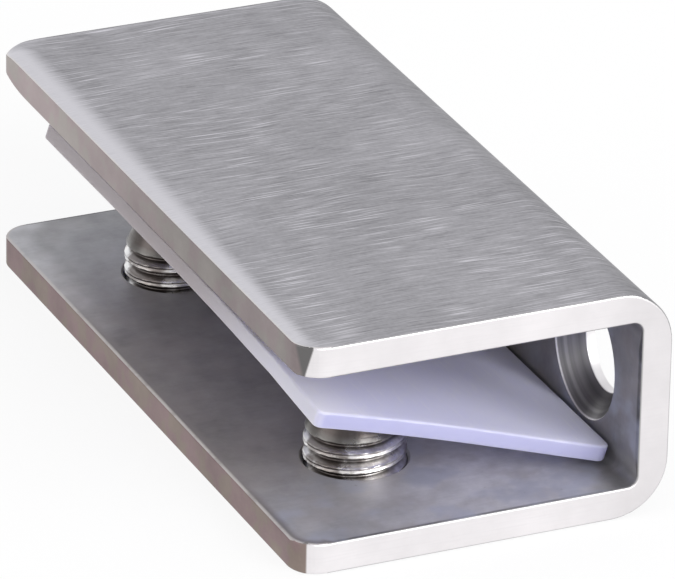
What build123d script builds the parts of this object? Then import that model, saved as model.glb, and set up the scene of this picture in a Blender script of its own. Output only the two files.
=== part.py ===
"""Glass panel clamp: a bent steel channel, two set screws and a loose pad.

Millimetres. The origin is under the middle of the clamp. X runs from the open front to the wall,
Y along the channel, and Z up. The clamp stands on the outside of its lower leg.
"""

from math import atan2, cos, radians, sin, sqrt, tan
import os

from build123d import *

os.makedirs("parts", exist_ok=True)

# Channel: one sheet bent into a U, open to the front.
channel_length = 60.0
channel_depth = 30.0
channel_height = 18.5
sheet_thickness = 2.5
bend_inner_radius = 0.8
bend_outer_radius = 4.5
corner_radius = 2.3  # free corners of both legs, seen from above
outer_bevel_width = 1.4  # the outer faces fall away towards the cut front edges
outer_bevel_drop = 0.08
inner_bevel_width = 0.35  # and so do the inner faces
inner_bevel_drop = 0.2
edge_break = 0.2  # rounding of the cut edges

# Wall holes in the web, countersunk from inside.
wall_hole_diameter = 6.8
wall_head_diameter = 10.4
wall_head_angle = 90.0
wall_hole_inset = 9.6  # from each end of the channel

# Tapped holes and M8 set screws in the lower leg.
thread_diameter = 8.0
thread_clearance = 0.05
tapped_hole_chamfer = 0.2
screw_inset = 12.5  # from each end of the channel
screw_setback = 10.0  # from the front edge
screw_length = 7.0
screw_standout = 4.8  # point above the lower leg's inner face
point_diameter = 5.5
point_length = 2.4
tail_chamfer = 0.6
socket_across_flats = 4.0
socket_depth = 3.5
socket_drill_angle = 120.0

# Pad: a cut sheet that leans from the lower bend over the points of both screws.
pad_length = 55.0
pad_width = 24.8
pad_thickness = 1.25
pad_corner_radius = 1.2
pad_web_gap = 0.65  # from its rear lower edge to the web
pad_rear_gap = 0.3  # from the same edge down to the bend
pad_shift = 1.1  # how far it lies from the middle
seat_gap = 0.1  # from its underside to the points

# Places that several pieces share.
front_x = -channel_depth / 2
wall_x = channel_depth / 2
web_x = wall_x - sheet_thickness
middle_z = channel_height / 2
floor_z = sheet_thickness
screw_x = front_x + screw_setback
screw_spacing = channel_length - 2 * screw_inset
wall_hole_spacing = channel_length - 2 * wall_hole_inset
screw_radius = thread_diameter / 2 - thread_clearance
point_z = floor_z + screw_standout
tail_z = point_z - screw_length

# The pad's rear lower edge sits in the bend, and its underside on the rear rims of the two points.
bend_reach = max(bend_inner_radius - pad_web_gap, 0)
pad_rear_x = web_x - pad_web_gap
pad_rear_z = floor_z + bend_inner_radius - sqrt(bend_inner_radius**2 - bend_reach**2) + pad_rear_gap
point_rim_x = screw_x + point_diameter / 2
pad_tilt = atan2(point_z + seat_gap - pad_rear_z, pad_rear_x - point_rim_x)

with BuildPart() as channel:
    # Lower half of the section, mirrored to the upper half.
    with BuildSketch(Plane.XZ):
        with BuildLine():
            Polyline(
                (web_x - bend_inner_radius, floor_z),
                (front_x, floor_z),
                (front_x, 0),
                (wall_x - bend_outer_radius, 0),
            )
            TangentArc((wall_x - bend_outer_radius, 0), (wall_x, bend_outer_radius), tangent=(1, 0))
            Line((wall_x, bend_outer_radius), (wall_x, middle_z))
            Line((web_x, middle_z), (web_x, floor_z + bend_inner_radius))
            TangentArc(
                (web_x, floor_z + bend_inner_radius), (web_x - bend_inner_radius, floor_z), tangent=(0, -1)
            )
            mirror(about=Plane.XZ.offset(-middle_z))
        make_face()
    extrude(amount=channel_length / 2, both=True)
    # The plan outline rounds the free corners of both legs.
    with BuildSketch() as plan:
        Rectangle(channel_depth, channel_length)
        fillet(plan.vertices().group_by(Axis.X)[0], corner_radius)
    extrude(amount=channel_height, mode=Mode.INTERSECT)
    end_faces = channel.faces().filter_by(Axis.Y).group_by(Axis.Y)
    end_edges = (end_faces[0] + end_faces[-1]).edges().filter_by(Axis.Z, reverse=True)
    fillet(end_edges, edge_break)
    # Bevels along the front edges, each drawn past the edge to twice its length.
    with BuildSketch(Plane.XZ):
        for face_z, width, drop in (
            (0, outer_bevel_width, outer_bevel_drop),
            (floor_z, inner_bevel_width, -inner_bevel_drop),
        ):
            with BuildLine():
                Polyline(
                    (front_x + width, face_z),
                    (front_x - width, face_z + 2 * drop),
                    (front_x - width, face_z - drop),
                    close=True,
                )
            make_face()
        mirror(about=Plane.XZ.offset(-middle_z))
    extrude(amount=channel_length, both=True, mode=Mode.SUBTRACT)
    # Wall holes, from inside the web.
    with Locations(Plane((web_x, 0, middle_z), x_dir=(0, 1, 0), z_dir=(-1, 0, 0))):
        with GridLocations(wall_hole_spacing, 0, 2, 1):
            CounterSinkHole(
                wall_hole_diameter / 2, wall_head_diameter / 2, sheet_thickness, wall_head_angle
            )
    # Tapped holes, chamfered on both faces of the lower leg.
    for face_plane in (Plane.XY.offset(floor_z), Plane.XY.rotated((180, 0, 0))):
        with Locations(face_plane):
            with Locations((screw_x, 0)):
                with GridLocations(0, screw_spacing, 1, 2):
                    CounterSinkHole(
                        thread_diameter / 2, thread_diameter / 2 + tapped_hole_chamfer, sheet_thickness, 90
                    )
channel.part.label = "channel"
export_step(channel.part, "parts/channel.step")

# One set screw at each end: flat point up, hexagon socket in the tail.
for name, screw_y in (("set_screw_near", -screw_spacing / 2), ("set_screw_far", screw_spacing / 2)):
    tail = Plane((screw_x, screw_y, tail_z))
    with BuildPart() as set_screw:
        with BuildSketch(Plane(tail.origin, x_dir=(1, 0, 0), z_dir=(0, -1, 0))):
            with BuildLine():
                Polyline(
                    (0, 0),
                    (screw_radius - tail_chamfer, 0),
                    (screw_radius, tail_chamfer),
                    (screw_radius, screw_length - point_length),
                    (point_diameter / 2, screw_length),
                    (0, screw_length),
                    close=True,
                )
            make_face()
        revolve(axis=Axis(tail.origin, (0, 0, 1)))
        with BuildSketch(tail):
            RegularPolygon(socket_across_flats / 2, 6, major_radius=False)
        extrude(amount=socket_depth, mode=Mode.SUBTRACT)
        with Locations(tail.offset(socket_depth)):
            Cone(
                socket_across_flats / 2,
                0,
                socket_across_flats / 2 / tan(radians(socket_drill_angle / 2)),
                align=(Align.CENTER, Align.CENTER, Align.MIN),
                mode=Mode.SUBTRACT,
            )
    set_screw.part.label = name
    export_step(set_screw.part, f"parts/{name}.step")

# The pad is drawn up the slope from its rear lower edge.
with BuildPart() as pad:
    slope = Plane(
        (pad_rear_x, pad_shift, pad_rear_z),
        x_dir=(-cos(pad_tilt), 0, sin(pad_tilt)),
        z_dir=(sin(pad_tilt), 0, cos(pad_tilt)),
    )
    with BuildSketch(slope):
        with Locations((pad_width / 2, 0)):
            RectangleRounded(pad_width, pad_length, pad_corner_radius)
    extrude(amount=pad_thickness)
pad.part.label = "pad"
export_step(pad.part, "parts/pad.step")
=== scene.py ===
"""Looks of the glass panel clamp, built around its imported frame.

Metres, in the part's own frame: X runs from the open front to the wall, Y along the channel, Z up.
Sizes of the part are written in millimetres times MM. Names that end in _mm, and the places and
distances inside the materials, are in millimetres.
"""

from math import acos, atan2, cos, hypot, pi, radians, sin, sqrt, tau

import bmesh
import bpy
from mathutils import Matrix, Quaternion, Vector, noise

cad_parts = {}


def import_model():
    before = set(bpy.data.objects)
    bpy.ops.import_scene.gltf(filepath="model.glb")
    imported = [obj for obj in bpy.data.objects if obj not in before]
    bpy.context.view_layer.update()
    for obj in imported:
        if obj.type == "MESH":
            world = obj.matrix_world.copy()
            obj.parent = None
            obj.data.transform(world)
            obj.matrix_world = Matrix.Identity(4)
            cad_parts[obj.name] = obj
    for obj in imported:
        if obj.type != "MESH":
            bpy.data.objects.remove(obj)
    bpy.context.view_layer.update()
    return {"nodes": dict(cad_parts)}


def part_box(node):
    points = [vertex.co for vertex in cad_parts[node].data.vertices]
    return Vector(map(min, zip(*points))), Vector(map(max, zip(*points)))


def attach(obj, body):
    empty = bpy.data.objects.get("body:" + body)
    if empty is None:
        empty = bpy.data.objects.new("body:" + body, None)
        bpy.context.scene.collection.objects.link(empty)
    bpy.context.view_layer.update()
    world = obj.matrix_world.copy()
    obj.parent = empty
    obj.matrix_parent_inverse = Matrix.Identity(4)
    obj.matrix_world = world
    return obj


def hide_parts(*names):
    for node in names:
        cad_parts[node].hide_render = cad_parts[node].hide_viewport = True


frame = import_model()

MM = 0.001

# Camera, from the edges of the clamp in the photograph. Angles in degrees.
IMAGE_WIDTH_PX = 675
FOCAL_LENGTH_PX = 7612.3
SENSOR_WIDTH_MM = 36.0
CAMERA_AIM = Vector((2.28, 2.27, 6.28)) * MM
CAMERA_DISTANCE = 588.7 * MM
CAMERA_AZIMUTH = -24.38
CAMERA_ELEVATION = 25.36
CAMERA_ROLL = 1.14
CLIP_NEAR = 0.01
CLIP_FAR = 20.0

# Channel, as in the part: sheet, rolled front edges, corners and holes.
channel_low, channel_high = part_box("channel")
FRONT_X = channel_low.x
WALL_X = channel_high.x
HALF_LENGTH = channel_high.y
HEIGHT = channel_high.z
MIDDLE_Z = HEIGHT / 2
SHEET = 2.5 * MM
OUTER_ROLL_WIDTH = 1.4 * MM
OUTER_ROLL_DROP = 0.08 * MM
OUTER_ROLL_STRIPS = 8
INNER_ROLL_WIDTH = 0.35 * MM
INNER_ROLL_DROP = 0.2 * MM
INNER_ROLL_STRIPS = 6
ROLL_BLEND = 0.3 * MM  # how far from a bevel the lift of its roll-off fades out
CORNER_RADIUS = 2.3 * MM
WALL_HOLE_INSET = 9.6 * MM
WALL_HOLE_RADIUS = 3.4 * MM
WALL_HOLE_HEAD_RADIUS = 5.2 * MM
BEND_RADIUS = 4.5 * MM
TAPPED_HOLE_RADIUS = 4.0 * MM
TAPPED_HOLE_CHAMFER = 0.2 * MM
SHARP_ANGLE = radians(38)
FLAT_NORMAL = 0.9999  # largest component of a normal, from which a face counts as flat
LEVEL_NORMAL = 0.95  # the same for a face that is part of the sheet's surface around a hole
RIM_NORMAL = 0.3  # Z of a normal, from which a tapped hole's rim has the finish of the inner faces
END_NORMAL = 0.5  # Y of a normal, from which a face belongs to the cut ends
FRONT_NORMAL = 0.75  # Z of a normal, up to which a face at the front belongs to the cut edge
CUT_TOLERANCE = 0.0002 * MM
MERGE_DISTANCE = 0.0005 * MM
GRIND_REACH = 4.0 * MM
GRIND_STEPS = 8
GRIND_ABOVE = 0.4 * MM
GRIND_ABOVE_POWER = 8
GRIND_BELOW = 0.8 * MM
GRIND_BELOW_POWER = 3

# Set screws: M8 x 1.25 with a flat point and a hexagon socket.
screw_low, screw_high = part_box("set_screw_far")
SCREW_X = (screw_low.x + screw_high.x) / 2
SCREW_Y = (screw_low.y + screw_high.y) / 2
THREAD_PITCH = 1.25 * MM
THREAD_START = 0.55  # share of a turn
CREST_RADIUS = 3.93 * MM
ROOT_RADIUS = 3.35 * MM
ROOT_END = 0.1  # shares of half a pitch, from the root to the middle of the crest
CREST_START = 0.7
CREST_HOLLOW = 0.16  # share of the thread's height
POINT_RADIUS = 2.75 * MM
POINT_LENGTH = 2.4 * MM
POINT_BREAK = 0.12 * MM
TAIL_CHAMFER = 0.6 * MM
SOCKET_APOTHEM = 2.0 * MM
SOCKET_DEPTH = 3.5 * MM
SOCKET_TIP_DEPTH = 1.15 * MM
SOCKET_MOUTH = 0.2 * MM
SCREW_COLUMNS = 96
ROWS_PER_PITCH = 24
SCREW_SHARP_ANGLE = radians(50)
DARK_REFLECTION_SIDE = (-0.885, -0.465)  # where the painted dark reflection on the screws faces, in X and Y

# Pad: a cut sheet on a slope from the lower bend over both points.
PAD_LENGTH = 55.0 * MM
PAD_WIDTH = 24.8 * MM
PAD_THICKNESS = 1.25 * MM
PAD_CORNER_RADIUS = 1.2 * MM
PAD_FRONT_CORNER_RADIUS = 0.6 * MM
PAD_FLARE = 0.5 * MM
PAD_FLARE_RUN = 32.0 * MM
PAD_FLARE_POWER = 4
PAD_EDGE_RADIUS = 0.16 * MM
PAD_EDGE_STEPS = 4
PAD_CORNER_STEPS = 8
PAD_GRID = 0.8 * MM
PAD_SAG_START = 0.45  # share of the width, from the rear
PAD_DROOP = 0.4 * MM
PAD_DROOP_RUN = 9.0 * MM
PAD_LIFT = 0.1 * MM
PAD_LIFT_RUN = 14.0 * MM
PAD_WAVE = 0.03 * MM
PAD_WAVE_RUN = 9.0 * MM
PAD_RAGGED = 0.07 * MM
PAD_RAGGED_RUN = 1.6 * MM
pad_low, pad_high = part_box("pad")

# Floor, just under the clamp so that the two faces don't meet.
FLOOR_HALF = 4.0
FLOOR_LEVEL = -0.05 * MM
FLOOR_GLOW = 0.85  # share of plain white in what the camera sees of it


def new_object(name, data):
    obj = bpy.data.objects.new(name, data)
    bpy.context.scene.collection.objects.link(obj)
    return obj


def finished_mesh(bm, name):
    mesh = bpy.data.meshes.new(name)
    bm.to_mesh(mesh)
    bm.free()
    return mesh


def smooth(share):
    """Eases a share from 0 to 1 at both ends."""
    return share * share * (3 - 2 * share)


# Node helpers


class Shader:
    """A node material around one Principled shader, with short calls for the nodes that feed it."""

    def __init__(self, name, **sockets):
        self.material = bpy.data.materials.new(name)
        self.material.use_nodes = True
        self.tree = self.material.node_tree
        self.bsdf = self.tree.nodes["Principled BSDF"]
        for socket, value in sockets.items():
            self.bsdf.inputs[socket.replace("_", " ")].default_value = value

    def node(self, kind, inputs=(), **settings):
        made = self.tree.nodes.new("ShaderNode" + kind)
        for key, value in settings.items():
            setattr(made, key, value)
        for key, value in dict(inputs).items():
            if isinstance(value, bpy.types.NodeSocket):
                self.tree.links.new(value, made.inputs[key])
            else:
                made.inputs[key].default_value = value
        return made

    def math(self, operation, a, b=0.0):
        return self.node("Math", {0: a, 1: b}, operation=operation).outputs[0]

    def plus(self, a, b):
        return self.math("ADD", a, b)

    def minus(self, a, b):
        return self.math("SUBTRACT", a, b)

    def times(self, a, b):
        return self.math("MULTIPLY", a, b)

    def hypot(self, a, b):
        return self.math("SQRT", self.plus(self.math("POWER", a, 2.0), self.math("POWER", b, 2.0)))

    def place_mm(self):
        """The point's own coordinates in millimetres, as three sockets."""
        coords = self.node("TexCoord").outputs["Object"]
        scaled = self.node("VectorMath", {0: coords, "Scale": 1 / MM}, operation="SCALE").outputs[0]
        return self.node("SeparateXYZ", {0: scaled}).outputs

    def vector(self, x=0.0, y=0.0, z=0.0):
        return self.node("CombineXYZ", {0: x, 1: y, 2: z}).outputs[0]

    def noise(self, vector, detail=2.0, rough=0.5, dims="3D", scale=1.0):
        inputs = {"Vector": vector, "Scale": scale, "Detail": detail, "Roughness": rough}
        return self.node("TexNoise", inputs, noise_dimensions=dims).outputs["Fac"]

    def map_range(self, value, low, high, to_low=0.0, to_high=1.0):
        inputs = {0: value, 1: low, 2: high, 3: to_low, 4: to_high}
        return self.node("MapRange", inputs).outputs[0]

    def smooth_range(self, value, low, high, to_low=0.0, to_high=1.0):
        inputs = {0: value, 1: low, 2: high, 3: to_low, 4: to_high}
        return self.node("MapRange", inputs, interpolation_type="SMOOTHSTEP").outputs[0]

    def lerp(self, factor, a, b):
        return self.node("Mix", {0: factor, 2: a, 3: b}).outputs[0]

    def mix(self, factor, a, b):
        return self.node("Mix", {0: factor, 6: a, 7: b}, data_type="RGBA").outputs[2]

    def shade(self, tone, colour):
        """The colour dimmed by a tone: black at 0."""
        return self.mix(tone, rgb(0, 0, 0), colour)

    def attribute(self, name):
        return self.node("Attribute", attribute_name=name).outputs["Fac"]

    def feed(self, socket, value):
        self.tree.links.new(value, self.bsdf.inputs[socket])

    def bump(self, height, strength, distance):
        inputs = {"Height": height, "Strength": strength, "Distance": distance}
        self.feed("Normal", self.node("Bump", inputs).outputs[0])


def rgb(r, g, b):
    return (r, g, b, 1.0)


# Materials


def streaks(s, across, along, pitch_mm, run_mm, shift=0.0, detail=1.0):
    """Noise drawn out into lines: pitch across them, run along them."""
    across = s.plus(s.times(across, 1 / pitch_mm), shift)
    return s.noise(s.vector(across, s.times(along, 1 / run_mm)), detail=detail, dims="2D")


def front_distance(s, x, y):
    """Millimetres in from the free outline of the legs, round their front corners, and the turn there."""
    corner_x = (FRONT_X + CORNER_RADIUS) / MM
    corner_y = (HALF_LENGTH - CORNER_RADIUS) / MM
    over_x = s.math("MAXIMUM", s.minus(corner_x, x), 0.0)
    over_y = s.math("MAXIMUM", s.minus(s.math("ABSOLUTE", y), corner_y), 0.0)
    reach = s.hypot(over_x, over_y)
    inside = s.math("MAXIMUM", s.minus(x, corner_x), 0.0)
    distance = s.plus(s.minus(CORNER_RADIUS / MM, reach), inside)
    return distance, s.math("ARCTAN2", over_y, over_x)


def bend_turn(s, x, z):
    """How far round the outer bends a point lies: 0 on the legs, a quarter turn on the web."""
    over_x = s.math("MAXIMUM", s.minus(x, (WALL_X - BEND_RADIUS) / MM), 0.0)
    from_middle = s.math("ABSOLUTE", s.minus(z, MIDDLE_Z / MM))
    over_z = s.math("MAXIMUM", s.minus(from_middle, (MIDDLE_Z - BEND_RADIUS) / MM), 0.0)
    return s.math("ARCTAN2", over_x, over_z)


def brushed_steel():
    """Outer faces: hairlines across the length and round the bends, and a polished band at the front,
    lightened with a painted highlight.
    """
    s = Shader("channel_brushed", Metallic=1.0, Anisotropic=0.3)
    x, y, z = s.place_mm()
    place = s.vector(x, y, z)
    along = s.minus(x, z)
    across = s.plus(y, s.lerp(s.noise(place, detail=1.0, scale=0.06), -0.9, 0.9))
    light = s.map_range(streaks(s, across, along, pitch_mm=0.17, run_mm=3.2), 0.54, 0.74)
    dark = s.map_range(streaks(s, across, along, pitch_mm=0.19, run_mm=3.6, shift=31.7), 0.54, 0.74)
    fine = streaks(s, across, along, pitch_mm=0.08, run_mm=1.3, shift=7.3)
    fuzz = s.noise(place, detail=2.0, rough=0.6, scale=2.6)
    cluster = s.map_range(s.noise(place, scale=0.11), 0.40, 0.58)
    scratch = streaks(s, across, along, pitch_mm=0.16, run_mm=4.5, shift=53.1, detail=0.0)
    scratch = s.times(s.map_range(scratch, 0.64, 0.82), cluster)
    cloud = s.noise(place, detail=3.0, scale=0.07)
    patch = s.noise(s.vector(y, z, x), detail=2.0, scale=0.25)
    grain = s.minus(light, dark)
    tone = s.plus(s.lerp(fine, 0.353, 0.483), s.lerp(cloud, -0.07, 0.07))
    tone = s.plus(tone, s.lerp(patch, -0.05, 0.05))
    tone = s.plus(tone, s.lerp(fuzz, -0.06, 0.06))
    tone = s.plus(tone, s.times(grain, 0.085))
    tone = s.lerp(s.times(scratch, 0.75), tone, 0.8)
    # Painted shade: the tone is darkened round the outer bends.
    round_bend = bend_turn(s, x, z)
    painted_bend_shade = s.times(s.map_range(round_bend, 0.0, 0.6), s.map_range(round_bend, pi / 2, 1.0))
    tone = s.times(tone, s.lerp(painted_bend_shade, 1.0, 0.7))
    end = HALF_LENGTH / MM
    # Painted highlight just inside the far end's top edge, then a painted dark line along the edge
    # itself; the tone also darkens a little towards the far end.
    painted_edge_glint = s.smooth_range(y, end - 0.8, end - 0.5, 1.0, 1.2)
    painted_edge_glint = s.times(painted_edge_glint, s.smooth_range(y, end - 0.4, end - 0.15, 1.0, 0.45))
    tone = s.times(tone, s.times(painted_edge_glint, s.map_range(y, 8.0, 29.0, 1.0, 0.94)))
    distance, turn = front_distance(s, x, y)
    ragged = s.plus(s.lerp(fine, -0.4, 0.4), s.times(grain, -0.12))
    ragged = s.plus(distance, ragged)
    ragged = s.math("DIVIDE", ragged, s.map_range(y, -28.0, 8.0, 0.6, 1.0))
    # A polished band along the front edges, with its tone raised as a painted highlight on the roll-off,
    # fading round the corners.
    band = s.times(s.smooth_range(ragged, 2.9, 0.9), s.map_range(turn, 0.2, 1.2, 1.0, 0.25))
    tone = s.lerp(band, tone, s.lerp(fine, 0.71, 0.85))
    colour = s.shade(tone, rgb(1.0, 0.985, 1.04))
    # Painted highlight: a thin cream line along the very front edge.
    painted_highlight = s.times(s.smooth_range(distance, 0.25, 0.05, 0.0, 0.8), patch)
    s.feed("Base Color", s.mix(painted_highlight, colour, rgb(0.92, 0.87, 0.80)))
    s.feed("Roughness", s.lerp(band, s.lerp(fine, 0.64, 0.52), 0.38))
    s.bump(tone, strength=0.12, distance=0.02 * MM)
    s.feed("Tangent", s.node("Tangent", direction_type="UV_MAP", uv_map="brush").outputs[0])
    return s.material


def inner_steel():
    """Inner faces: matt and blotchy, with painted light towards the near end, painted shade in the bends
    and at the edges, and a few dark specks.
    """
    s = Shader("channel_inner", Metallic=0.5, Specular_IOR_Level=0.3)
    x, y, z = s.place_mm()
    place = s.vector(x, y, z)
    cloud = s.noise(place, detail=4.0, rough=0.6, scale=0.17)
    brown = s.smooth_range(s.noise(place, detail=3.0, scale=0.33), 0.46, 0.66)
    blue = s.smooth_range(s.noise(s.vector(y, z, x), detail=3.0, scale=0.27), 0.46, 0.66)
    speck = s.smooth_range(s.noise(place, detail=1.0, scale=0.8), 0.77, 0.82)
    smudge = s.noise(place, detail=4.0, rough=0.65, scale=0.45)
    line = streaks(s, y, s.minus(x, z), pitch_mm=0.25, run_mm=3.5)
    # Painted light: the lower leg's inner face is lighter towards the open near end, and reaches further
    # in towards the web and under the pad.
    reach = s.minus(s.lerp(cloud, -6.0, 6.0), s.smooth_range(x, -8.0, 2.0, 0.0, 8.0))
    near = s.smooth_range(s.plus(y, reach), -14.0, -27.0)
    painted_near_light = s.times(near, s.smooth_range(x, -11.0, 1.0, 0.40, 0.92))
    lower_face, upper_face = SHEET / MM, (HEIGHT - SHEET) / MM
    painted_near_light = s.times(painted_near_light, s.smooth_range(z, lower_face + 2.0, lower_face + 0.1))
    tone = s.plus(s.lerp(cloud, 0.21, 0.49), s.lerp(line, -0.015, 0.015))
    tone = s.plus(tone, s.lerp(smudge, -0.10, 0.10))
    # Painted sheen: lighter towards the far end and along the front lip there; the upper leg's inner face
    # is also made lighter, so that it throws more light onto the pad.
    far = s.smooth_range(y, 4.0, 26.0)
    distance, _turn = front_distance(s, x, y)
    lip = s.times(s.smooth_range(distance, 2.8, 0.6), s.smooth_range(y, 6.0, 17.0))
    sheen = s.plus(s.times(far, 0.22), s.times(lip, 0.5))
    upper = s.smooth_range(z, upper_face - 1.0, upper_face - 0.1, 0.0, 0.7)
    level = s.plus(s.plus(s.plus(painted_near_light, sheen), upper), 0.84)
    tone = s.times(tone, level)
    # Painted shade: darker in the inner bends and on the fillets at the ends, and a little darker on the
    # web's inner face.
    to_web = s.minus((WALL_X - SHEET) / MM, x)
    from_middle = s.math("ABSOLUTE", s.minus(z, MIDDLE_Z / MM))
    to_leg = s.minus((MIDDLE_Z - SHEET) / MM, from_middle)
    in_bend = s.smooth_range(s.math("MAXIMUM", to_web, s.times(to_leg, 3.0)), 4.7, 0.8)
    on_web = s.smooth_range(to_leg, 1.0, 2.5)
    end = HALF_LENGTH / MM
    to_end = s.plus(s.math("ABSOLUTE", y), s.times(on_web, 0.25))
    at_end = s.smooth_range(to_end, end - 0.4, end - 0.15)
    tone = s.times(tone, s.lerp(s.math("MAXIMUM", in_bend, at_end), 1.0, 0.35))
    tone = s.times(tone, s.lerp(on_web, 1.0, 0.92))
    tint = s.mix(far, rgb(1.04, 0.97, 0.94), rgb(0.98, 0.98, 1.02))
    colour = s.shade(tone, s.mix(near, tint, rgb(1.0, 0.98, 1.02)))
    brown = s.times(brown, s.lerp(far, 0.3, 0.1))
    colour = s.mix(brown, colour, rgb(0.34, 0.30, 0.29))
    # Bluish blotches, kept to the near end, where they also paint in a reflection of the lavender pad.
    blue = s.times(s.times(blue, near), 0.55)
    colour = s.mix(blue, colour, rgb(0.42, 0.44, 0.53))
    # Painted shade along the inner front edge, outside the far lip.
    edge = s.smooth_range(s.plus(distance, s.lerp(cloud, -0.4, 0.4)), 1.0, 0.3, 0.0, 0.8)
    edge = s.times(edge, s.minus(1.0, lip))
    colour = s.mix(edge, colour, s.mix(near, rgb(0.34, 0.31, 0.30), rgb(0.22, 0.20, 0.20)))
    # Painted highlight: a light line along the inner front edge, broken by the smudges.
    painted_highlight = s.smooth_range(smudge, 0.3, 0.55, 0.3, 0.9)
    painted_highlight = s.times(s.smooth_range(distance, 0.34, 0.14), painted_highlight)
    colour = s.mix(painted_highlight, colour, rgb(0.56, 0.53, 0.52))
    s.feed("Base Color", s.mix(s.times(speck, 0.7), colour, rgb(0.12, 0.11, 0.11)))
    s.feed("Roughness", s.lerp(cloud, 0.36, 0.50))
    s.bump(line, strength=0.08, distance=0.02 * MM)
    return s.material


def cut_steel():
    """Edges of the sheet: matt and warm at the front, bright on the milled ends, with painted shade where
    the upper front corner turns and on the fillets beside the ends.
    """
    s = Shader("channel_cut", Metallic=1.0)
    x, y, z = s.place_mm()
    place = s.vector(x, y, z)
    cloud = s.noise(place, detail=4.0, rough=0.6, scale=0.25)
    grain = s.noise(place, detail=2.0, scale=5.0)
    lines = streaks(s, z, x, pitch_mm=0.20, run_mm=5.0)
    _distance, turn = front_distance(s, x, y)
    # Round the front corners the bright end finish starts part way round, along a line that slants on the
    # upper leg, placed where the corner turns from shade into light; on the upper leg a band before it is
    # dark with painted shade.
    upper = s.math("GREATER_THAN", z, MIDDLE_Z / MM)
    low, high = (HEIGHT - SHEET) / MM, HEIGHT / MM - 0.2
    slant = s.times(upper, s.map_range(z, low, high, radians(-10), radians(6)))
    past = s.minus(turn, s.plus(slant, radians(50)))
    end = s.map_range(past, -0.03, 0.03)
    lean = s.map_range(z, low, high, radians(16), 0.0)
    painted_corner_shade = s.map_range(s.minus(turn, lean), radians(16), radians(24))
    painted_corner_shade = s.times(upper, painted_corner_shade)
    lower_warm = s.map_range(y, -28.0, 4.0, 0.25, 0.235)
    upper_warm = s.smooth_range(y, -10.0, 20.0, 0.26, 0.385)
    warm = s.lerp(upper, lower_warm, upper_warm)
    warm = s.plus(s.plus(warm, s.lerp(cloud, -0.09, 0.09)), s.lerp(grain, -0.02, 0.02))
    blotch = s.smooth_range(s.noise(place, detail=2.0, scale=0.5), 0.42, 0.58)
    tint = s.mix(blotch, rgb(1.10, 0.93, 0.94), rgb(1.05, 0.96, 0.92))
    tint = s.mix(upper, s.mix(blotch, rgb(1.14, 0.83, 0.84), rgb(1.07, 0.87, 0.77)), tint)
    front = s.shade(warm, tint)
    front = s.mix(painted_corner_shade, front, rgb(0.16, 0.155, 0.155))
    shine = s.times(s.lerp(cloud, 0.77, 0.97), s.smooth_range(x, 8.0, 13.0, 1.0, 0.91))
    bright = s.shade(shine, rgb(0.96, 0.93, 0.945))
    bright = s.mix(s.map_range(lines, 0.5, 0.75, 0.0, 0.2), bright, rgb(0.74, 0.71, 0.73))
    # Painted shade: the end finish is darkened on the fillets round the ends, away from the front
    # corners.
    to_end = s.node("SeparateXYZ", {0: s.node("TexCoord").outputs["Normal"]}).outputs["Y"]
    corner = s.smooth_range(s.math("ABSOLUTE", to_end), 0.98, 0.75)
    corner = s.times(corner, s.math("GREATER_THAN", x, (FRONT_X + CORNER_RADIUS) / MM))
    bright = s.mix(s.times(corner, 0.8), bright, rgb(0.30, 0.30, 0.30))
    s.feed("Base Color", s.mix(end, front, bright))
    s.feed("Roughness", s.lerp(end, s.lerp(grain, 0.44, 0.56), s.lerp(lines, 0.36, 0.46)))
    s.bump(s.lerp(end, grain, lines), strength=0.12, distance=0.015 * MM)
    return s.material


def machined_steel():
    """Countersinks with turned rings about each hole's axis, bright lands, and painted shade in the
    tapped holes.
    """
    s = Shader("channel_machined", Metallic=1.0)
    x, y, z = s.place_mm()
    away_y = s.minus(s.math("ABSOLUTE", y), (HALF_LENGTH - WALL_HOLE_INSET) / MM)
    away_z = s.minus(z, MIDDLE_Z / MM)
    radius = s.hypot(away_y, away_z)
    turned = s.vector(s.times(radius, 3.0), s.times(x, 0.3))
    rings = s.noise(turned, detail=3.0, dims="2D")
    hole, head = WALL_HOLE_RADIUS / MM, WALL_HOLE_HEAD_RADIUS / MM
    land = s.map_range(radius, hole + 0.02, hole + 0.06, 1.0, 0.0)
    rim = s.smooth_range(radius, head - 0.15, head - 0.06)
    to_worn = s.math("ABSOLUTE", s.minus(radius, head - 0.58))
    worn = s.smooth_range(to_worn, 0.16, 0.02, 0.0, 0.3)
    tone = s.plus(s.lerp(rings, 0.14, 0.40), s.times(worn, rings))
    tone = s.lerp(land, s.lerp(rim, tone, 0.85), s.lerp(rings, 0.82, 0.95))
    # Painted shade in the tapped holes round the screws.
    tapped = s.math("LESS_THAN", z, SHEET / MM + 0.1)
    tone = s.lerp(tapped, tone, s.lerp(rings, 0.2, 0.34))
    s.feed("Base Color", s.shade(tone, rgb(1.0, 0.98, 0.99)))
    s.feed("Roughness", s.lerp(rings, 0.30, 0.42))
    s.bump(rings, strength=0.3, distance=0.03 * MM)
    return s.material


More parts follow.
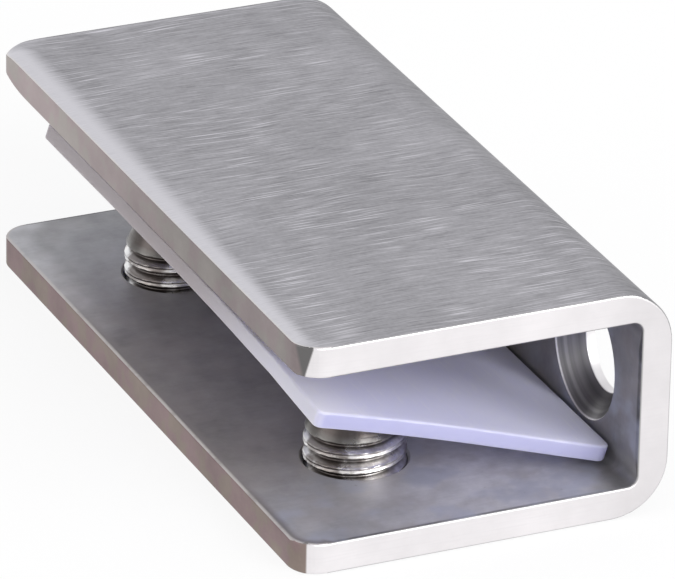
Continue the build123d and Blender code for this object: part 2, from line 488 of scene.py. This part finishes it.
def screw_steel():
    """Rolled and bright, with dirt and painted shade in the roots of the thread, painted shade on the
    point, a painted highlight on the side towards the front and a painted dark reflection next to it.
    """
    s = Shader("screw_bright", Metallic=1.0)
    x, y, z = s.place_mm()
    place = s.vector(x, y, z)
    away_x = s.minus(x, SCREW_X / MM)
    away_y = s.minus(y, s.times(s.math("SIGN", y), SCREW_Y / MM))
    radius = s.hypot(away_x, away_y)
    facing = s.plus(s.times(away_x, DARK_REFLECTION_SIDE[0]), s.times(away_y, DARK_REFLECTION_SIDE[1]))
    facing = s.math("DIVIDE", facing, radius)
    spots = s.noise(place, detail=4.0, rough=0.6, scale=0.9)
    # Dark in the roots of the thread: dirt, with painted shade that is strongest on the side of the dark
    # reflection.
    root = s.smooth_range(radius, (ROOT_RADIUS + 0.34 * MM) / MM, (ROOT_RADIUS + 0.05 * MM) / MM)
    root = s.times(root, s.smooth_range(radius, 2.9, 3.2))
    root = s.times(root, s.map_range(spots, 0.25, 0.6, 0.6, 1.0))
    root = s.times(root, s.smooth_range(facing, 0.1, 0.8, 0.65, 1.0))
    lines = s.noise(s.vector(0.0, 0.0, s.times(z, 4.5)), detail=2.0)
    # Painted dark reflection: a dark brown patch on the same side of both screws, ragged at its edge and
    # streaked by the rolled lines.
    ragged = s.plus(facing, s.lerp(spots, -0.22, 0.22))
    painted_dark_reflection = s.times(s.smooth_range(ragged, 0.80, 0.93), s.map_range(lines, 0.3, 0.7, 1.0, 0.7))
    # Painted shade: the point, which lies under the pad, is darkened almost to black.
    point = s.smooth_range(z, 4.7, 5.3)
    # Painted highlight: the side of each screw that faces the open front is lightened to white.
    painted_highlight = s.smooth_range(s.math("DIVIDE", away_x, radius), -0.80, -0.95)
    colour = s.mix(s.map_range(spots, 0.40, 0.66), rgb(0.88, 0.86, 0.84), rgb(0.50, 0.47, 0.44))
    colour = s.mix(painted_highlight, colour, rgb(1.0, 1.0, 1.0))
    colour = s.mix(s.times(painted_dark_reflection, 0.92), colour, rgb(0.15, 0.12, 0.11))
    colour = s.mix(s.times(point, 0.9), colour, rgb(0.11, 0.105, 0.10))
    s.feed("Base Color", s.mix(root, colour, rgb(0.085, 0.072, 0.068)))
    s.feed("Roughness", s.lerp(spots, 0.20, 0.40))
    s.bump(s.plus(lines, s.times(spots, 0.6)), strength=0.35, distance=0.05 * MM)
    return s.material


def milky_plastic():
    """Pad: milky sheet with fine scuffs, darker and deeper in colour on its cut sides as painted shade,
    greyed with painted shade along the front.
    """
    s = Shader(
        "pad_milky",
        Subsurface_Weight=0.6,
        Subsurface_Radius=(1.0, 1.0, 1.2),
        Subsurface_Scale=1.5 * MM,
        IOR=1.5,
    )
    x, y, z = s.place_mm()
    place = s.vector(x, y, z)
    cloud = s.noise(place, detail=3.0, rough=0.5, scale=0.12)
    grain = s.noise(place, detail=2.0, scale=4.0)
    scuff = s.map_range(streaks(s, x, y, pitch_mm=0.4, run_mm=4.0), 0.6, 0.8)
    side = s.attribute("side")
    rim = s.attribute("rim")
    scuff = s.times(scuff, s.minus(1.0, side))
    colour = s.mix(cloud, rgb(0.69, 0.69, 0.98), rgb(0.77, 0.77, 1.0))
    colour = s.mix(s.times(scuff, 0.2), colour, rgb(0.86, 0.86, 1.0))
    # Painted light on the top towards its near front corner; further along, the top's front strip, in
    # shade under the leg, is painted grey like the front edge.
    lit = s.times(s.smooth_range(x, -6.5, -11.3), s.smooth_range(y, -2.0, -14.0))
    colour = s.mix(s.times(lit, 0.6), colour, rgb(0.87, 0.86, 1.0))
    strip = s.times(s.smooth_range(x, -9.8, -10.9), s.smooth_range(y, -22.0, -14.0))
    colour = s.mix(s.times(strip, 0.85), colour, rgb(0.66, 0.64, 0.68))
    # Painted shade: the cut sides are darker than the top, where the lamp strikes them; the front side
    # takes a lighter, greyer tone.
    front = s.attribute("front")
    cut = s.mix(cloud, rgb(0.37, 0.37, 0.56), rgb(0.42, 0.42, 0.62))
    colour = s.mix(side, colour, s.mix(front, cut, rgb(0.62, 0.61, 0.69)))
    # Painted shade greys the front of the pad along most of its length.
    grey = s.times(s.smooth_range(x, -10.4, -11.0), s.smooth_range(y, -22.0, 2.0))
    colour = s.mix(s.times(grey, 0.95), colour, rgb(0.326, 0.288, 0.296))
    # Painted highlight along the top of the rounded edge, broken up, and left out where the front is
    # greyed.
    broken = s.map_range(s.noise(place, detail=1.0, scale=0.5), 0.35, 0.6, 0.0, 0.5)
    painted_edge_glint = s.times(s.times(rim, s.minus(1.0, grey)), broken)
    s.feed("Base Color", s.mix(painted_edge_glint, colour, rgb(0.66, 0.66, 0.84)))
    s.feed("Roughness", s.lerp(grain, 0.34, 0.46))
    s.bump(s.plus(grain, scuff), strength=0.08, distance=0.02 * MM)
    return s.material


# Channel


def roll_gain(distance, width, drop):
    """How far a round roll-off stands proud of the flat bevel, at a distance from the front edge."""
    if distance >= width:
        return 0.0
    radius = (width**2 + drop**2) / (2 * drop)
    rolled = radius - sqrt(radius**2 - (width - distance) ** 2)
    return drop * (1 - distance / width) - rolled


def cut_across(bm, place, normal):
    """Cuts every face that a plane crosses, along the plane."""
    geom = bm.verts[:] + bm.edges[:] + bm.faces[:]
    bmesh.ops.bisect_plane(bm, geom=geom, plane_co=place, plane_no=normal, dist=CUT_TOLERANCE)


def strip_places(width, count, first):
    """Distances from the front edge at which a bevel is cut into strips, from the first one on."""
    return {k * width / count for k in range(first, count + 1)}


def near_bevel(depth, bevel):
    """1 on a bevel, falling to 0 away from it."""
    return max(0.0, 1 - abs(depth - bevel) / ROLL_BLEND)


def round_front_edges(bm):
    """Cuts the front bevels into strips and lifts them to round roll-offs."""
    places = strip_places(INNER_ROLL_WIDTH, INNER_ROLL_STRIPS, 1)
    places |= strip_places(OUTER_ROLL_WIDTH, OUTER_ROLL_STRIPS, OUTER_ROLL_STRIPS // 2)
    for place in sorted(places):
        cut_across(bm, (FRONT_X + place, 0, 0), (1, 0, 0))
    for vert in bm.verts:
        distance = vert.co.x - FRONT_X
        side = 1 if vert.co.z > MIDDLE_Z else -1
        depth = MIDDLE_Z - abs(vert.co.z - MIDDLE_Z)
        outer_bevel = OUTER_ROLL_DROP * (1 - distance / OUTER_ROLL_WIDTH)
        inner_bevel = SHEET - INNER_ROLL_DROP * (1 - distance / INNER_ROLL_WIDTH)
        if depth < SHEET / 2:
            gain = roll_gain(distance, OUTER_ROLL_WIDTH, OUTER_ROLL_DROP)
            vert.co.z += side * near_bevel(depth, outer_bevel) * gain
        elif distance < INNER_ROLL_WIDTH:
            gain = roll_gain(distance, INNER_ROLL_WIDTH, INNER_ROLL_DROP)
            vert.co.z -= side * near_bevel(depth, inner_bevel) * gain


def grind_far_corner(bm):
    """Rounds the upper leg's far front corner, above a little and below more, as a file leaves it."""
    corner = Vector((FRONT_X, HALF_LENGTH, 0))
    diagonal = Vector((1, -1, 0)).normalized()
    tip = CORNER_RADIUS * (sqrt(2) - 1)
    for k in range(1, GRIND_STEPS + 1):
        cut_across(bm, corner + diagonal * (tip + GRIND_REACH * (k / GRIND_STEPS) ** 2), diagonal)
    for vert in bm.verts:
        if vert.co.z < MIDDLE_Z:
            continue
        away = max((vert.co - corner).dot(diagonal) - tip, 0.0)
        share = max(0.0, 1 - away / GRIND_REACH)
        if vert.co.z < HEIGHT - SHEET / 2:
            vert.co.z += GRIND_BELOW * share**GRIND_BELOW_POWER
        else:
            vert.co.z -= GRIND_ABOVE * share**GRIND_ABOVE_POWER


def channel_zone(face):
    """Which finish a face of the channel has: its index in the list of materials."""
    brushed, inner, cut, machined = range(4)
    centre, normal = face.calc_center_median(), face.normal
    depth = MIDDLE_Z - abs(centre.z - MIDDLE_Z)
    to_wall_hole = hypot(abs(centre.y) - (HALF_LENGTH - WALL_HOLE_INSET), centre.z - MIDDLE_Z)
    past_sheet, within_sheet = SHEET * 1.02, SHEET * 0.98
    in_wall_hole = to_wall_hole < WALL_HOLE_HEAD_RADIUS and abs(normal.x) < LEVEL_NORMAL
    if centre.x > WALL_X - past_sheet and in_wall_hole:
        return machined
    to_screw = hypot(centre.x - SCREW_X, abs(centre.y) - SCREW_Y)
    in_tapped_hole = to_screw < TAPPED_HOLE_RADIUS + TAPPED_HOLE_CHAMFER and abs(normal.z) < LEVEL_NORMAL
    if depth < past_sheet and in_tapped_hole:
        return inner if normal.z > RIM_NORMAL else machined
    at_front = centre.x < FRONT_X + CORNER_RADIUS and normal.x < 0
    if abs(normal.y) > END_NORMAL or (abs(normal.z) < FRONT_NORMAL and at_front):
        return cut
    inside = centre.x < WALL_X - within_sheet and depth > SHEET / 2
    return inner if inside else brushed


def corner_normals(mesh):
    """Normals for each face corner: flat faces stay flat and curved ones run into them without a kink."""
    faces = mesh.polygons
    flat = [max(abs(c) for c in face.normal) > FLAT_NORMAL for face in faces]
    around = [[] for _ in mesh.vertices]
    for face in faces:
        for vertex in face.vertices:
            around[vertex].append(face.index)
    normals = []
    for face in faces:
        for vertex in face.vertices:
            near = [k for k in around[vertex] if faces[k].normal.angle(face.normal, 0.0) < SHARP_ANGLE]
            level = [k for k in near if flat[k]]
            if flat[face.index]:
                normals.append(face.normal.copy())
            elif level:
                nearest = min(level, key=lambda k: faces[k].normal.angle(face.normal, 0.0))
                normals.append(faces[nearest].normal.copy())
            else:
                total = sum((faces[k].normal * faces[k].area for k in near), Vector())
                normals.append(total.normalized())
    return normals


def channel_piece():
    """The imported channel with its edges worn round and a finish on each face."""
    bm = bmesh.new()
    bm.from_mesh(frame["nodes"]["channel"].data)
    bmesh.ops.remove_doubles(bm, verts=bm.verts, dist=MERGE_DISTANCE)
    round_front_edges(bm)
    grind_far_corner(bm)
    bm.normal_update()
    brush = bm.loops.layers.uv.new("brush")
    for face in bm.faces:
        face.smooth = True
        face.material_index = channel_zone(face)
        for loop in face.loops:
            place = loop.vert.co / MM
            loop[brush].uv = (place.y, place.x - place.z)
    mesh = finished_mesh(bm, "channel_body")
    mesh.normals_split_custom_set(corner_normals(mesh))
    obj = new_object("channel_body", mesh)
    for make in (brushed_steel, inner_steel, cut_steel, machined_steel):
        mesh.materials.append(make())
    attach(obj, "channel")
    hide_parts("channel")


# Set screws


def thread_height(phase):
    """Thread profile over one pitch: 0 at the root, 1 at both edges of a slightly hollow crest."""
    wave = abs(2 * (phase % 1.0) - 1)
    if wave > CREST_START:
        return 1.0 - CREST_HOLLOW * sin(pi / 2 * (wave - CREST_START) / (1 - CREST_START)) ** 2
    return max((wave - ROOT_END) / (CREST_START - ROOT_END), 0.0)


def screw_radius(height, length, angle):
    """Radius of the screw's skin at a height over its tail."""
    phase = height / THREAD_PITCH - angle / tau - THREAD_START
    thread = ROOT_RADIUS + (CREST_RADIUS - ROOT_RADIUS) * thread_height(phase)
    to_point = max(length - height, 0.0)
    point = POINT_RADIUS + (CREST_RADIUS - POINT_RADIUS) * to_point / POINT_LENGTH
    tail = CREST_RADIUS - TAIL_CHAMFER + height
    return min(thread, point, tail)


def socket_radius(angle):
    """Distance from the axis to the hexagon's wall."""
    return SOCKET_APOTHEM / cos((angle % (pi / 3)) - pi / 6)


def bridge(bm, loops):
    """Joins each ring of vertices to the next one."""
    for first, second in zip(loops, loops[1:]):
        for k in range(len(first)):
            j = (k + 1) % len(first)
            bm.faces.new((first[k], second[k], second[j], first[j]))


def screw_piece(node, material):
    """A set screw in rings: down the socket's wall, round the tail, up the thread and over the point."""
    low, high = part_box(node)
    axis = Vector(((low.x + high.x) / 2, (low.y + high.y) / 2, low.z))
    length = high.z - low.z
    rows = round(length / THREAD_PITCH * ROWS_PER_PITCH)
    angles = [tau * k / SCREW_COLUMNS for k in range(SCREW_COLUMNS)]
    bm = bmesh.new()

    def ring(height, radius_at):
        places = [Vector((radius_at(a) * cos(a), radius_at(a) * sin(a), height)) for a in angles]
        return [bm.verts.new(axis + place) for place in places]

    loops = [ring(SOCKET_DEPTH, socket_radius), ring(SOCKET_MOUTH, socket_radius)]
    loops.append(ring(0.0, lambda a: socket_radius(a) + SOCKET_MOUTH))
    for k in range(rows + 1):
        height = length * k / rows
        loops.append(ring(height, lambda a: screw_radius(height, length - POINT_BREAK, a)))
    loops.append(ring(length, lambda a: POINT_RADIUS - 2 * POINT_BREAK))
    loops.append(ring(length, lambda a: POINT_RADIUS / 2))
    bridge(bm, loops)
    tip = bm.verts.new(axis + Vector((0, 0, SOCKET_DEPTH + SOCKET_TIP_DEPTH)))
    top = bm.verts.new(axis + Vector((0, 0, length)))
    for k in range(SCREW_COLUMNS):
        j = (k + 1) % SCREW_COLUMNS
        bm.faces.new((tip, loops[0][k], loops[0][j]))
        bm.faces.new((top, loops[-1][j], loops[-1][k]))
    bmesh.ops.recalc_face_normals(bm, faces=bm.faces)
    for face in bm.faces:
        face.smooth = True
    for edge in bm.edges:
        edge.smooth = edge.calc_face_angle(0.0) < SCREW_SHARP_ANGLE
    mesh = finished_mesh(bm, node + "_threaded")
    mesh.materials.append(material)
    obj = new_object(node + "_threaded", mesh)
    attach(obj, node)
    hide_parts(node)


# Pad


def pad_lines(size):
    """Grid lines across one side of the pad, with closer lines in the rounded corners."""
    corner = [PAD_CORNER_RADIUS * k / PAD_CORNER_STEPS for k in range(PAD_CORNER_STEPS + 1)]
    middle = size - 2 * PAD_CORNER_RADIUS
    count = round(middle / PAD_GRID)
    inner = [PAD_CORNER_RADIUS + middle * k / count for k in range(1, count)]
    return corner + inner + [size - c for c in reversed(corner)]


def rounded(u, v, inset):
    """Moves a point of the pad's rectangle into the outline with round corners, drawn in by inset."""
    radius = PAD_FRONT_CORNER_RADIUS if u > PAD_WIDTH / 2 else PAD_CORNER_RADIUS
    centre_u = min(max(u, radius), PAD_WIDTH - radius)
    centre_v = min(max(v, radius), PAD_LENGTH - radius)
    a, b = (u - centre_u) / radius, (v - centre_v) / radius
    reach = radius - inset
    return (
        centre_u + reach * a * sqrt(1 - b * b / 2),
        centre_v + reach * b * sqrt(1 - a * a / 2),
    )


def front_share(u, v):
    """1 along the front of the pad's outline, falling to 0 round its two front corners."""
    to_front = max(0.0, 1 - (PAD_WIDTH - u) / PAD_FRONT_CORNER_RADIUS)
    to_end = max(0.0, 1 - min(v, PAD_LENGTH - v) / PAD_FRONT_CORNER_RADIUS)
    return (1 + to_front - to_end) / 2 if to_front > 0 else 0.0


def pad_flare(u, v):
    """How far the sheet stands out at its front, where it is cut wider towards the near end."""
    near = max(0.0, 1 - v / PAD_FLARE_RUN)
    return PAD_FLARE * (u / PAD_WIDTH) ** PAD_FLARE_POWER * smooth(near)


def ripple(u, v, run):
    """Noise over the pad, from -1 to 1, in waves about as long as run."""
    return noise.noise(Vector((u, v, 0)) / run)


def pad_sag(u, v):
    """How far the loose sheet lies below its plane: the near front corner droops, the far front lifts."""
    front = max(0.0, (u / PAD_WIDTH - PAD_SAG_START) / (1 - PAD_SAG_START))
    near = max(0.0, 1 - v / PAD_DROOP_RUN)
    far = min(max((v - PAD_DROOP_RUN) / PAD_LIFT_RUN, 0.0), 1.0)
    wave = PAD_WAVE * ripple(u, v, PAD_WAVE_RUN)
    return front**2 * (PAD_DROOP * near - PAD_LIFT * smooth(far) + wave)


def pad_slope():
    """The rear lower corner and the slope of the tilted sheet, which its CAD box gives back."""
    reach = pad_high.x - pad_low.x
    tilt = acos(reach / hypot(PAD_WIDTH, PAD_THICKNESS)) + atan2(PAD_THICKNESS, PAD_WIDTH)
    rear_x = pad_low.x + PAD_WIDTH * cos(tilt)
    slope = Matrix(((-cos(tilt), 0, sin(tilt)), (0, 1, 0), (sin(tilt), 0, cos(tilt))))
    return Vector((rear_x, pad_low.y, pad_low.z)), slope


def border(grid):
    """The outermost points of a grid, in order round it."""
    first, last = grid[0], grid[-1]
    side_a = [row[0] for row in grid]
    side_b = [row[-1] for row in grid]
    return first + side_b[1:] + last[::-1][1:] + side_a[::-1][1:-1]


def pad_piece():
    """The pad as two grids, above and below, joined round a rounded edge that is ragged on top."""
    origin, slope = pad_slope()
    us, vs = pad_lines(PAD_WIDTH), pad_lines(PAD_LENGTH)
    bm = bmesh.new()
    side_layer = bm.verts.layers.float.new("side")
    rim_layer = bm.verts.layers.float.new("rim")
    front_layer = bm.verts.layers.float.new("front")

    def point(u, v, inset, height, ragged=0.0, side=0.0, rim=0.0):
        pu, pv = rounded(u, v, inset)
        pu += pad_flare(pu, pv)
        if ragged:
            height += ripple(u, v, PAD_RAGGED_RUN) * ragged
        vert = bm.verts.new(origin + slope @ Vector((pu, pv, height - pad_sag(pu, pv))))
        vert[side_layer], vert[rim_layer] = side, rim
        vert[front_layer] = front_share(u, v)
        return vert

    def sheet(height):
        return [[point(u, v, PAD_EDGE_RADIUS, height) for v in vs] for u in us]

    top, bottom = sheet(PAD_THICKNESS), sheet(0.0)
    for grid, flip in ((top, False), (bottom, True)):
        for i in range(len(us) - 1):
            for j in range(len(vs) - 1):
                corners = [grid[i][j], grid[i][j + 1], grid[i + 1][j + 1], grid[i + 1][j]]
                bm.faces.new(corners[::-1] if flip else corners)
    outline = border([[(u, v) for v in vs] for u in us])
    loops = [border(top)]
    turns = [pi / 2 * k / PAD_EDGE_STEPS for k in range(1, PAD_EDGE_STEPS + 1)]
    for turn in turns:
        inset = PAD_EDGE_RADIUS * (1 - sin(turn))
        height = PAD_THICKNESS - PAD_EDGE_RADIUS * (1 - cos(turn))
        ragged = PAD_RAGGED * sin(turn)
        loops.append([point(u, v, inset, height, ragged, sin(turn), sin(2 * turn)) for u, v in outline])
    for turn in reversed(turns):
        inset = PAD_EDGE_RADIUS * (1 - sin(turn))
        height = PAD_EDGE_RADIUS * (1 - cos(turn))
        loops.append([point(u, v, inset, height, side=sin(turn)) for u, v in outline])
    loops.append(border(bottom))
    bridge(bm, loops)
    bmesh.ops.recalc_face_normals(bm, faces=bm.faces)
    for face in bm.faces:
        face.smooth = True
    mesh = finished_mesh(bm, "pad_sheet")
    mesh.materials.append(milky_plastic())
    obj = new_object("pad_sheet", mesh)
    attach(obj, "channel")
    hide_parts("pad")


# Studio


def floor():
    """Pale floor that shows as white, with the clamp's shadow on it."""
    mesh = bpy.data.meshes.new("floor")
    signs = ((-1, -1), (1, -1), (1, 1), (-1, 1))
    corners = [(FLOOR_HALF * a, FLOOR_HALF * b, FLOOR_LEVEL) for a, b in signs]
    mesh.from_pydata(corners, [], [(0, 1, 2, 3)])
    s = Shader("floor_pale", Roughness=0.9, Specular_IOR_Level=0.0)
    cloud = s.noise(s.vector(*s.place_mm()), detail=2.0, scale=0.004)
    s.feed("Base Color", s.mix(cloud, rgb(0.89, 0.89, 0.89), rgb(0.91, 0.91, 0.91)))
    path = s.node("LightPath").outputs
    seen = s.plus(path["Is Camera Ray"], path["Is Glossy Ray"])
    seen = s.math("MINIMUM", s.plus(seen, path["Is Transmission Ray"]), 1.0)
    glow = s.node("Emission", {"Color": rgb(1, 1, 1), "Strength": 1.0}).outputs[0]
    share = s.times(seen, FLOOR_GLOW)
    shown = s.node("MixShader", {0: share, 1: s.bsdf.outputs[0], 2: glow}).outputs[0]
    s.tree.links.new(shown, s.tree.nodes["Material Output"].inputs["Surface"])
    mesh.materials.append(s.material)
    new_object("floor", mesh)


def world():
    """Soft surround: pale near the horizon, greyer higher up."""
    made = bpy.data.worlds.new("studio")
    made.use_nodes = True
    tree = made.node_tree
    coords = tree.nodes.new("ShaderNodeTexCoord")
    parts = tree.nodes.new("ShaderNodeSeparateXYZ")
    ramp = tree.nodes.new("ShaderNodeValToRGB")
    tree.links.new(coords.outputs["Generated"], parts.inputs[0])
    tree.links.new(parts.outputs["Z"], ramp.inputs[0])
    tree.links.new(ramp.outputs[0], tree.nodes["Background"].inputs["Color"])
    tree.nodes["Background"].inputs["Strength"].default_value = 1.0
    horizon, sky = ramp.color_ramp.elements
    horizon.position, horizon.color = 0.08, rgb(0.95, 0.95, 0.95)
    sky.position, sky.color = 0.35, rgb(0.72, 0.72, 0.73)
    bpy.context.scene.world = made


def softbox(name, place, size, radiance):
    """A soft area lamp that faces the clamp; its power follows from its size and how bright it looks."""
    light = bpy.data.lights.new(name, "AREA")
    light.shape = "RECTANGLE"
    light.size, light.size_y = size
    light.energy = radiance * pi * size[0] * size[1]
    obj = new_object(name, light)
    obj.location = place
    obj.rotation_mode = "QUATERNION"
    obj.rotation_quaternion = (-Vector(place)).to_track_quat("-Z", "Y")


def lights():
    """A key light beyond the near end, a fill from the left and a faint lamp overhead."""
    softbox("near_key", place=(0.32, -0.92, 0.48), size=(1.2, 0.6), radiance=4.4)
    softbox("left_fill", place=(-1.1, 0.1, 0.35), size=(0.8, 0.5), radiance=1.5)
    softbox("overhead", place=(0.0, 0.0, 1.2), size=(1.2, 1.2), radiance=0.25)


def camera():
    """The camera of the photograph, as fitted."""
    data = bpy.data.cameras.new("camera")
    data.sensor_width = SENSOR_WIDTH_MM
    data.lens = FOCAL_LENGTH_PX / IMAGE_WIDTH_PX * SENSOR_WIDTH_MM
    data.clip_start, data.clip_end = CLIP_NEAR, CLIP_FAR
    obj = new_object("camera", data)
    a, e = radians(CAMERA_AZIMUTH), radians(CAMERA_ELEVATION)
    back = Vector((sin(a) * cos(e), -cos(a) * cos(e), sin(e)))
    obj.location = CAMERA_AIM + back * CAMERA_DISTANCE
    obj.rotation_mode = "QUATERNION"
    roll = Quaternion((0, 0, 1), radians(CAMERA_ROLL))
    obj.rotation_quaternion = (-back).to_track_quat("-Z", "Y") @ roll
    bpy.context.scene.camera = obj


channel_piece()
bright = screw_steel()
for screw in ("set_screw_near", "set_screw_far"):
    screw_piece(screw, bright)
pad_piece()
floor()
world()
lights()
camera()
bpy.context.scene.view_settings.view_transform = "Standard"
